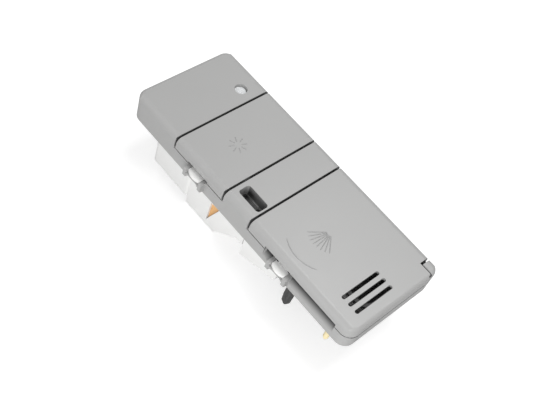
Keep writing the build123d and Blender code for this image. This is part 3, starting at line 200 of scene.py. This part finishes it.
class StageSettings(bpy.types.PropertyGroup):
    """Light and floor."""
    key_power: wattage("Key light", "Large lamp overhead, towards the hinges", 3.7)
    key_place: position("Key place", "Where the key light hangs", (0.25, 0.0, 0.8))
    key_size: length("Key size", "Side of the key light", 0.5)
    fill_power: wattage("Fill light", "Lamp low on the latch side", 4.5)
    fill_place: position("Fill place", "Where the fill light stands", (-0.65, -0.35, 0.12))
    fill_size: length("Fill size", "Side of the fill light", 0.6)
    sky: FloatProperty(name="Sky level", description="Strength of the even white surroundings",
                       default=0.42, min=0)
    floor_half: length("Floor half width", "Half the side of the floor", 8.0)
    floor_tone: FloatProperty(name="Floor tone", description="Grey of the floor and its glow to the camera",
                              default=0.62, min=0, max=1)
    floor_drop: length("Floor drop", "Gap between the lowest piece and the floor", 0.5 * MM)


def settings(kind):
    return getattr(bpy.context.scene, "dispenser_" + kind)


def socket(group, name, direction, kind, default=None):
    made = group.interface.new_socket(name, in_out=direction, socket_type=kind)
    if default is not None:
        made.default_value = default
    return made


def noise(nodes, links, coordinates, scale, detail):
    made = nodes.new("ShaderNodeTexNoise")
    made.inputs["Scale"].default_value = scale
    made.inputs["Detail"].default_value = detail
    links.new(coordinates, made.inputs["Vector"])
    return made.outputs["Fac"]


def moulded_skin():
    """Node group: slow drift of tone, uneven gloss and the fine grain of a spark-eroded mould."""
    if "moulded_skin" in bpy.data.node_groups:
        return bpy.data.node_groups["moulded_skin"]
    group = bpy.data.node_groups.new("moulded_skin", "ShaderNodeTree")
    socket(group, "Colour", "INPUT", "NodeSocketColor")
    socket(group, "Drift", "INPUT", "NodeSocketFloat", 0.06)
    socket(group, "Gloss", "INPUT", "NodeSocketFloat", 0.45)
    socket(group, "Colour", "OUTPUT", "NodeSocketColor")
    socket(group, "Roughness", "OUTPUT", "NodeSocketFloat")
    socket(group, "Grain", "OUTPUT", "NodeSocketFloat")
    nodes, links = group.nodes, group.links
    given = nodes.new("NodeGroupInput")
    out = nodes.new("NodeGroupOutput")
    place = nodes.new("ShaderNodeTexCoord").outputs["Object"]
    drift = noise(nodes, links, place, 14.0, 2.0)
    spread = nodes.new("ShaderNodeMath")
    spread.operation = "MULTIPLY_ADD"
    links.new(drift, spread.inputs[0])
    links.new(given.outputs["Drift"], spread.inputs[1])
    spread.inputs[2].default_value = 0.97
    tone = nodes.new("ShaderNodeVectorMath")
    tone.operation = "SCALE"
    links.new(given.outputs["Colour"], tone.inputs[0])
    links.new(spread.outputs[0], tone.inputs["Scale"])
    links.new(tone.outputs[0], out.inputs["Colour"])
    patches = noise(nodes, links, place, 45.0, 3.0)
    gloss = nodes.new("ShaderNodeMath")
    gloss.operation = "MULTIPLY_ADD"
    links.new(patches, gloss.inputs[0])
    gloss.inputs[1].default_value = 0.12
    links.new(given.outputs["Gloss"], gloss.inputs[2])
    links.new(gloss.outputs[0], out.inputs["Roughness"])
    links.new(noise(nodes, links, place, 1600.0, 2.0), out.inputs["Grain"])
    return group


def painted_shading_box():
    """Node group: mixes a given tint into the colour inside a box with soft sides: painted shade for seams
    and hollows with little light, and, with a light tint, a painted highlight.
    """
    if "painted_shading_box" in bpy.data.node_groups:
        return bpy.data.node_groups["painted_shading_box"]
    group = bpy.data.node_groups.new("painted_shading_box", "ShaderNodeTree")
    socket(group, "Colour", "INPUT", "NodeSocketColor")
    socket(group, "Painted tint", "INPUT", "NodeSocketColor")
    for name in ("Middle", "Half size", "Softness"):
        socket(group, name, "INPUT", "NodeSocketVector")
    socket(group, "Colour", "OUTPUT", "NodeSocketColor")
    nodes, links = group.nodes, group.links
    given = nodes.new("NodeGroupInput").outputs
    out = nodes.new("NodeGroupOutput").inputs["Colour"]

    def step(operation, first, second=None, constant=None):
        made = nodes.new("ShaderNodeVectorMath")
        made.operation = operation
        links.new(first, made.inputs[0])
        if second is not None:
            links.new(second, made.inputs[1])
        if constant is not None:
            made.inputs[1].default_value = (constant,) * 3
        return made.outputs[0]

    place = nodes.new("ShaderNodeTexCoord").outputs["Object"]
    away = step("ABSOLUTE", step("SUBTRACT", place, given["Middle"]))
    inside = step("DIVIDE", step("SUBTRACT", given["Half size"], away), given["Softness"])
    inside = step("MINIMUM", step("MAXIMUM", inside, constant=0.0), constant=1.0)
    split = nodes.new("ShaderNodeSeparateXYZ")
    links.new(inside, split.inputs[0])
    share = split.outputs["X"]
    for axis in "YZ":
        product = nodes.new("ShaderNodeMath")
        product.operation = "MULTIPLY"
        links.new(share, product.inputs[0])
        links.new(split.outputs[axis], product.inputs[1])
        share = product.outputs[0]
    mix = nodes.new("ShaderNodeMix")
    mix.data_type = "RGBA"
    links.new(share, mix.inputs["Factor"])
    links.new(given["Colour"], mix.inputs["A"])
    links.new(given["Painted tint"], mix.inputs["B"])
    links.new(mix.outputs["Result"], out)
    return group


def material(name):
    made = bpy.data.materials.new(name)
    made.use_nodes = True
    return made, made.node_tree.nodes, made.node_tree.links, made.node_tree.nodes["Principled BSDF"]


def bump(nodes, links, height, distance, strength, shader):
    made = nodes.new("ShaderNodeBump")
    made.inputs["Distance"].default_value = distance
    made.inputs["Strength"].default_value = strength
    links.new(height, made.inputs["Height"])
    links.new(made.outputs["Normal"], shader.inputs["Normal"])


def moulding(name, tint, gloss, drift, grain, metallic=0.0):
    """A material on the moulded skin: tone drift to colour, patches to roughness, grain to bump."""
    made, nodes, links, shader = material(name)
    skin = nodes.new("ShaderNodeGroup")
    skin.node_tree = moulded_skin()
    skin.inputs["Colour"].default_value = (*tint, 1)
    skin.inputs["Drift"].default_value = drift
    skin.inputs["Gloss"].default_value = gloss
    links.new(skin.outputs["Colour"], shader.inputs["Base Color"])
    links.new(skin.outputs["Roughness"], shader.inputs["Roughness"])
    shader.inputs["Metallic"].default_value = metallic
    bump(nodes, links, skin.outputs["Grain"], 0.05 * MM, grain, shader)
    return made


def painted_shading(made, boxes):
    """Paint shade, and with a light tint a highlight, into a material's colour inside each box: tint, two
    corners and softness.
    """
    nodes, links = made.node_tree.nodes, made.node_tree.links
    shade = nodes["Principled BSDF"].inputs["Base Color"]
    for tint, low, high, softness in boxes:
        before = shade.links[0].from_socket
        layer = nodes.new("ShaderNodeGroup")
        layer.node_tree = painted_shading_box()
        layer.inputs["Painted tint"].default_value = (*tint, 1)
        layer.inputs["Middle"].default_value = (Vector(low) + Vector(high)) / 2
        layer.inputs["Half size"].default_value = (Vector(high) - Vector(low)) / 2
        layer.inputs["Softness"].default_value = softness
        links.new(before, layer.inputs["Colour"])
        links.new(layer.outputs["Colour"], shade)


def lighter(tint, times):
    """A painted shade's tint made some times lighter."""
    return [times * part for part in tint]


def seam_boxes(tint):
    """Painted shade: thin boxes on the seam walls under the panel's face, and a painted shadow along the
    finger scoops.
    """
    lid_low, lid_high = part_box("detergent_lid")
    rinse_low, rinse_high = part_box("rinse_aid_lid")
    wall = lighter(tint, 3)
    boxes = [(wall, (lid_low.x + MM, y - THIN, 0), (lid_high.x, y + THIN, FACE_Z - THIN),
              (HAIR, HAIR, 2 * THIN))
             for y in (lid_high.y + SEAM_GAP, rinse_low.y, rinse_high.y + SEAM_GAP)]
    # Painted shadow under the lid's overhanging edge along the finger scoops.
    scoop_low = (lid_low.x + THIN, lid_low.y + SCOOP_ROOM, SCOOP_BACK_Z)
    scoop_high = (lid_low.x + 2 * SCOOP_DEEP, SCOOP_TOP, lid_low.z - MM)
    boxes.append((tint, scoop_low, scoop_high, (0.7 * SCOOP_DEEP, MM, THIN)))
    return boxes


def end_boxes(tint):
    """Painted shade at the lower end: the lid's lip, the knuckle's two seams, and a patch on the deck under
    the vents that darkens the light falling through them.
    """
    low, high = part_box("detergent_lid")
    lip = lighter(tint, 3)
    vent_shade_tint = lighter(tint, 4)
    seam = low.y + KNUCKLE_LEN
    inner = high.x - KNUCKLE_IN
    brink = FACE_Z - THIN
    vent_shade_low = Vector((low.x + VENT_SHADE_IN, low.y + VENT_SHADE_ROOM, DECK_Z - THIN))
    return [
        (lip, (low.x + MM, low.y - MM, DECK_Z - THIN), (inner, low.y + 2 * MM, low.z + THIN),
         (MM, THIN, THIN)),
        (lip, (inner, seam - THIN, DECK_Z), (high.x, seam + SEAM_GAP + THIN, brink), (THIN, HAIR, THIN)),
        (lip, (inner, low.y + THIN, DECK_Z), (inner + KNUCKLE_SEAM, seam, brink), (HAIR, THIN, THIN)),
        # Painted shade that darkens the light falling through the vents onto the deck.
        (vent_shade_tint, vent_shade_low, vent_shade_low + Vector((VENT_SHADE_W, VENT_SHADE_L, 2 * THIN)), (4 * MM, 6 * MM, HAIR)),
    ]


def well_boxes(tint):
    """Painted light in the outlet well: painted shade on the wall and floor, darker painted shade in the
    far corner and at the drain, and a painted highlight on the rib's top.
    """
    low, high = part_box("well_cup")
    right, top, floor = high.x - WELL_WALL, high.y - WELL_WALL, low.z + WELL_WALL
    sharp = THIN / 9
    shade = lighter(tint, 6)
    painted_highlight = lighter(tint, 25)
    rib = floor + MM
    wall = (shade, (right - THIN, low.y, rib + THIN), (right + THIN, top + MM, FACE_Z - THIN),
            (sharp, MM, THIN))
    wall_corner = (tint, (right - THIN, top - 11 * MM, floor), (right + THIN, top + 4 * MM, floor + 9 * MM),
                   (sharp, 7 * MM, 4 * MM))
    bottom = (shade, (low.x, low.y, floor - THIN), (right - MM, top, floor + THIN), (MM, MM, sharp))
    bottom_corner = (tint, (right - 4 * MM, top - 8 * MM, floor - THIN), (right, top + 4 * MM, rib + THIN),
                     (MM, 6 * MM, sharp))
    drain = (tint, (right - 4.5 * MM, low.y + 4 * MM, low.z),
             (right - THIN, low.y + 8.8 * MM, floor + THIN), (MM, MM, sharp))
    # Painted highlight along the top of the rib.
    rib_top = (painted_highlight, (right - 1.2 * MM, low.y + 6 * MM, rib - sharp), (right, top - 7 * MM, rib + sharp),
               (sharp, 2 * MM, sharp / 9))
    return [wall, wall_corner, bottom, bottom_corner, drain, rib_top]


def clear_moulding():
    """A milky lens under a clear coat, with faint moulding ripples."""
    made, nodes, links, shader = material("clear_window")
    shader.inputs["IOR"].default_value = 1.49
    shader.inputs["Base Color"].default_value = (0.9, 0.91, 0.92, 1)
    shader.inputs["Coat Weight"].default_value = 1.0
    shader.inputs["Coat Roughness"].default_value = 0.04
    place = nodes.new("ShaderNodeTexCoord").outputs["Object"]
    ripple = noise(nodes, links, place, 150.0, 1.0)
    spread = nodes.new("ShaderNodeMath")
    spread.operation = "MULTIPLY_ADD"
    links.new(ripple, spread.inputs[0])
    spread.inputs[1].default_value = 0.2
    spread.inputs[2].default_value = 0.2
    links.new(spread.outputs[0], shader.inputs["Roughness"])
    bump(nodes, links, ripple, 0.05 * MM, 0.03, shader)
    return made


def finish_materials():
    tints = settings("finish")
    panel = moulding("grey_moulding", tints.grey, 0.28, 0.06, 0.25)
    # Painted shade in the seams, scoops, lower end and outlet well, and a painted highlight on the well's
    # rib.
    painted_shading(panel, seam_boxes(tints.painted_shading) + end_boxes(tints.painted_shading) + well_boxes(tints.painted_shading))
    return {
        "grey_moulding": panel,
        "sign_grey": moulding("sign_grey", tints.sign, 0.5, 0.05, 0.2),
        "white_moulding": moulding("white_moulding", tints.white, 0.38, 0.05, 0.2),
        "latch_white": moulding("latch_white", tints.latch, 0.28, 0.03, 0.1),
        "clear_window": clear_moulding(),
        "black_rubber": moulding("black_rubber", (0.035, 0.035, 0.035), 0.6, 0.2, 0.4),
        "drawn_steel": moulding("drawn_steel", (0.58, 0.58, 0.57), 0.25, 0.1, 0.15, 1.0),
        "blackened_steel": moulding("blackened_steel", (0.05, 0.05, 0.05), 0.4, 0.1, 0.15, 1.0),
        "tan_moulding": moulding("tan_moulding", tints.tan, 0.45, 0.12, 0.2),
        "taped_winding": moulding("taped_winding", tints.tan, 0.42, 0.2, 0.5),
        "tinned_brass": moulding("tinned_brass", (0.75, 0.6, 0.3), 0.25, 0.1, 0.1, 1.0),
        "dark_moulding": moulding("dark_moulding", tints.dark, 0.35, 0.25, 0.3),
        "yellow_moulding": moulding("yellow_moulding", tints.yellow, 0.4, 0.08, 0.2),
    }


def piece(name, sheets, finish, body, looped=False):
    """One mesh object from point grids of shape (rows, columns, 3), each row a closed loop.

    Neighbouring rows are joined by quads that wrap round the loop. The first and last rows are capped,
    or joined to each other when the rows themselves go round a loop, so that each grid is a closed skin.
    """
    vertices, faces, start = [], [], 0
    for grid in sheets:
        rows, columns = grid.shape[:2]
        index = start + np.arange(rows * columns).reshape(rows, columns)
        ring = np.concatenate([index, index[:1]]) if looped else index
        turned = np.roll(ring, -1, axis=1)
        quads = np.stack([ring[:-1], turned[:-1], turned[1:], ring[1:]], axis=-1).reshape(-1, 4)
        faces += quads.tolist()
        if not looped:
            faces += [index[0][::-1].tolist(), index[-1].tolist()]
        vertices.append(grid.reshape(-1, 3))
        start += rows * columns
    mesh = bpy.data.meshes.new(name)
    mesh.from_pydata(np.concatenate(vertices).tolist(), [], faces)
    mesh.update()
    mesh.materials.append(bpy.data.materials[finish])
    mesh.shade_smooth()
    made = bpy.data.objects.new(name, mesh)
    bpy.context.scene.collection.objects.link(made)
    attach(made, body)
    return made


def stroke(path, z, width, height):
    """A tapered embossed line: an ellipse carried along a path, shrinking to nothing at both ends.

    path has shape (n, 2). At each point the ellipse spans width across the path and height up, and its
    size follows the square root of the distance from the nearer end.
    """
    along = np.gradient(path, axis=0)
    along /= np.linalg.norm(along, axis=1, keepdims=True)
    across = np.stack([-along[:, 1], along[:, 0]], axis=1)
    t = np.linspace(0, 1, len(path))
    swell = np.clip(np.minimum(t, 1 - t) / 0.12, 0.02, 1) ** 0.5
    turn = np.linspace(0, 2 * np.pi, 10, endpoint=False)
    side = 0.5 * width * swell[:, None] * np.cos(turn)
    up = height * swell[:, None] * np.sin(turn)
    flat = path[:, None, :] + across[:, None, :] * side[..., None]
    return np.concatenate([flat, z + up[..., None]], axis=-1)


def ray(centre, turn, inner, outer):
    """A straight path of 14 points outwards from a centre, at a turn from the X axis."""
    reach = np.linspace(inner, outer, 14)[:, None]
    return np.array(centre) + reach * np.array([np.cos(turn), np.sin(turn)])


class DISPENSER_OT_finish(bpy.types.Operator):
    """Give every CAD node its moulded, metal or rubber finish."""
    bl_idname = "dispenser.finish"
    bl_label = "Finish the CAD pieces"

    def execute(self, context):
        made = finish_materials()
        for finish, nodes in FINISHES.items():
            for node in nodes:
                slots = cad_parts[node].data.materials
                slots.clear()
                slots.append(made[finish])
        return {"FINISHED"}


class DISPENSER_OT_signs(bpy.types.Operator):
    """Emboss a sunburst on the rinse-aid lid, and a spray fan and a bowl line on the detergent lid."""
    bl_idname = "dispenser.signs"
    bl_label = "Emboss the lid signs"

    def execute(self, context):
        s = settings("signs")
        angles = 2 * np.pi * (np.arange(s.sun_strokes) + 0.5) / s.sun_strokes
        sun = [ray(s.sun_centre, turn, s.sun_inner, s.sun_outer) for turn in angles]
        self.emboss("sunburst_sign", sun, "rinse_aid_lid")
        angles = np.linspace(s.fan_start, s.fan_end, s.fan_rays)
        fan = [ray(s.fan_centre, turn, s.fan_inner, s.fan_outer) for turn in angles]
        self.emboss("spray_sign", [*fan, self.bowl_line()], "detergent_lid")
        return {"FINISHED"}

    def emboss(self, name, paths, lid):
        """Strokes along the paths, on a lid's face."""
        s = settings("signs")
        strokes = [stroke(path, FACE_Z, s.stroke_width, s.stroke_height) for path in paths]
        piece(name, strokes, "sign_grey", lid)

    def bowl_line(self):
        """An arc of a circle that bows away from the fan's apex, on the lid's latch side."""
        s = settings("signs")
        turn = np.linspace(s.fan_start, s.bowl_end, 40)
        middle = np.array(s.fan_centre) + np.array(s.bowl_shift)
        return middle + s.bowl_radius * np.stack([np.cos(turn), np.sin(turn)], axis=1)


class DISPENSER_OT_scale(bpy.types.Operator):
    """Emboss the dosing dial's scale on the deck, in strokes that grow with the dose."""
    bl_idname = "dispenser.scale"
    bl_label = "Emboss the dial scale"

    def execute(self, context):
        low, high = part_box("dosing_dial")
        middle = (low + high) / 2
        s = settings("details")
        start = (high.x - low.x) / 2 + s.scale_gap
        angles = np.pi / 2 + np.linspace(s.scale_swing, -s.scale_swing, s.scale_marks)
        sizes = s.scale_length * np.linspace(0.5, 1, s.scale_marks)
        paths = [ray((middle.x, middle.y), turn, start, start + size) for turn, size in zip(angles, sizes)]
        marks = [stroke(path, DECK_Z, s.scale_width, s.scale_height) for path in paths]
        piece("dial_scale", marks, "sign_grey", "base")
        return {"FINISHED"}


class DISPENSER_OT_window(bpy.types.Operator):
    """Crown the level window with a shallow dome."""
    bl_idname = "dispenser.window"
    bl_label = "Crown the level window"

    def execute(self, context):
        low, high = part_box("level_window")
        middle = (low + high) / 2
        s = settings("details")
        radius = s.dome_share * (high.x - low.x) / 2
        rise = np.linspace(-0.2, np.pi / 2 - 0.03, 14)[:, None]
        turn = np.linspace(0, 2 * np.pi, 48, endpoint=False)[None, :]
        dome = np.stack([middle.x + radius * np.cos(rise) * np.cos(turn),
                         middle.y + radius * np.cos(rise) * np.sin(turn),
                         high.z + s.dome_rise * np.sin(rise) + 0 * turn], axis=-1)
        piece("window_dome", [dome], "clear_window", "base")
        return {"FINISHED"}


class DISPENSER_OT_coil(bpy.types.Operator):
    """Wind the coil: a drum whose radius ripples once for every turn of wire."""
    bl_idname = "dispenser.coil"
    bl_label = "Wind the coil"

    def execute(self, context):
        low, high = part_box("coil_winding")
        middle = (low + high) / 2
        radius = (high.z - low.z) / 2
        s = settings("details")
        x = np.linspace(low.x, high.x, 220)
        ripple = radius - s.wire_dip * (1 - np.abs(np.sin(np.pi * (x - low.x) / s.wire_pitch)))
        turn = np.linspace(0, 2 * np.pi, 64, endpoint=False)
        r = np.concatenate([[s.coil_bore], ripple, [s.coil_bore]])
        along = np.concatenate([[x[0]], x, [x[-1]]])
        drum = np.stack([along[:, None] + 0 * turn, middle.y + r[:, None] * np.cos(turn),
                         middle.z + r[:, None] * np.sin(turn)], axis=-1)
        made = piece("coil_turns", [drum], "taped_winding", "base", looped=True)
        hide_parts("coil_winding")
        return {"FINISHED"}


class DISPENSER_OT_stage(bpy.types.Operator):
    """White floor, even surroundings, two soft lamps and the photograph's camera."""
    bl_idname = "dispenser.stage"
    bl_label = "Set the stage"

    def execute(self, context):
        s = settings("stage")
        scene = context.scene
        scene.view_settings.view_transform = "Standard"
        self.floor(CAD_BOX[0][2] - s.floor_drop, s.floor_half, s.floor_tone)
        self.world(scene, s.sky)
        self.lamp("key_lamp", s.key_place, s.key_power, s.key_size)
        self.lamp("fill_lamp", s.fill_place, s.fill_power, s.fill_size)
        self.camera(scene)
        return {"FINISHED"}

    def floor(self, z, half, tone):
        """A square sheet that glows white to the camera and is clear when seen from below."""
        mesh = bpy.data.meshes.new("floor")
        corners = np.array([(-half, -half), (half, -half), (half, half), (-half, half)])
        mesh.from_pydata(np.column_stack([corners, np.full(4, z)]).tolist(), [], [(0, 1, 2, 3)])
        made, nodes, links, shader = material("floor_white")
        shader.inputs["Roughness"].default_value = 0.9
        shader.inputs["Base Color"].default_value = (tone, tone, tone, 1)
        path = nodes.new("ShaderNodeLightPath")
        glow = nodes.new("ShaderNodeMath")
        glow.operation = "MULTIPLY"
        links.new(path.outputs["Is Camera Ray"], glow.inputs[0])
        glow.inputs[1].default_value = tone
        shader.inputs["Emission Color"].default_value = (1, 1, 1, 1)
        links.new(glow.outputs[0], shader.inputs["Emission Strength"])
        above = nodes.new("ShaderNodeMath")
        above.operation = "SUBTRACT"
        above.inputs[0].default_value = 1.0
        links.new(nodes.new("ShaderNodeNewGeometry").outputs["Backfacing"], above.inputs[1])
        links.new(above.outputs[0], shader.inputs["Alpha"])
        mesh.materials.append(made)
        floor = bpy.data.objects.new("floor", mesh)
        bpy.context.scene.collection.objects.link(floor)

    def world(self, scene, level):
        """White surroundings that light evenly and show white to the camera, to gloss and through glass."""
        world = bpy.data.worlds.new("white_surroundings")
        scene.world = world
        world.use_nodes = True
        nodes, links = world.node_tree.nodes, world.node_tree.links
        sky = nodes["Background"]
        sky.inputs["Color"].default_value = (1, 1, 1, 1)
        path = nodes.new("ShaderNodeLightPath")
        seen = nodes.new("ShaderNodeMath")
        seen.operation = "MAXIMUM"
        links.new(path.outputs["Is Camera Ray"], seen.inputs[0])
        links.new(path.outputs["Is Transmission Ray"], seen.inputs[1])
        strength = nodes.new("ShaderNodeMath")
        strength.operation = "MAXIMUM"
        links.new(seen.outputs[0], strength.inputs[0])
        strength.inputs[1].default_value = level
        links.new(strength.outputs[0], sky.inputs["Strength"])

    def lamp(self, name, place, power, size):
        data = bpy.data.lights.new(name, "AREA")
        data.energy = power
        data.size = size
        lamp = bpy.data.objects.new(name, data)
        lamp.location = place
        lamp.rotation_euler = (-Vector(place)).to_track_quat("-Z", "Y").to_euler()
        bpy.context.scene.collection.objects.link(lamp)

    def camera(self, scene):
        data = bpy.data.cameras.new("photo_camera")
        data.sensor_fit = "HORIZONTAL"
        data.sensor_width = SENSOR_MM
        data.lens = FOCAL_PX / PHOTO_W * SENSOR_MM
        camera = bpy.data.objects.new("photo_camera", data)
        turn = Matrix((CAMERA_RIGHT, CAMERA_UP, CAMERA_BACK)).transposed()
        camera.matrix_world = Matrix.LocRotScale(Vector(CAMERA_PLACE), turn.to_quaternion(), None)
        scene.collection.objects.link(camera)
        scene.camera = camera


OPERATORS = (DISPENSER_OT_finish, DISPENSER_OT_signs, DISPENSER_OT_scale,
             DISPENSER_OT_window, DISPENSER_OT_coil, DISPENSER_OT_stage)
SETTINGS = {"finish": FinishSettings, "signs": SignSettings,
            "details": DetailSettings, "stage": StageSettings}


class DISPENSER_PT_panel(bpy.types.Panel):
    """Lists the dispenser's steps and sizes."""
    bl_idname = "DISPENSER_PT_panel"
    bl_label = "Detergent dispenser"
    bl_space_type = "VIEW_3D"
    bl_region_type = "UI"
    bl_category = "Dispenser"

    def draw(self, context):
        for kind, group in SETTINGS.items():
            box = self.layout.box()
            for name in group.__annotations__:
                box.prop(settings(kind), name)
        for operator in OPERATORS:
            self.layout.operator(operator.bl_idname)


CLASSES = (*SETTINGS.values(), *OPERATORS, DISPENSER_PT_panel)


def register():
    for cls in CLASSES:
        bpy.utils.register_class(cls)
    for kind, group in SETTINGS.items():
        setattr(bpy.types.Scene, "dispenser_" + kind, PointerProperty(type=group))


def unregister():
    for kind in SETTINGS:
        delattr(bpy.types.Scene, "dispenser_" + kind)
    for cls in reversed(CLASSES):
        bpy.utils.unregister_class(cls)


def main():
    register()
    bpy.ops.dispenser.finish()
    bpy.ops.dispenser.signs()
    bpy.ops.dispenser.scale()
    bpy.ops.dispenser.window()
    bpy.ops.dispenser.coil()
    bpy.ops.dispenser.stage()


if __name__ == "__main__":
    main()
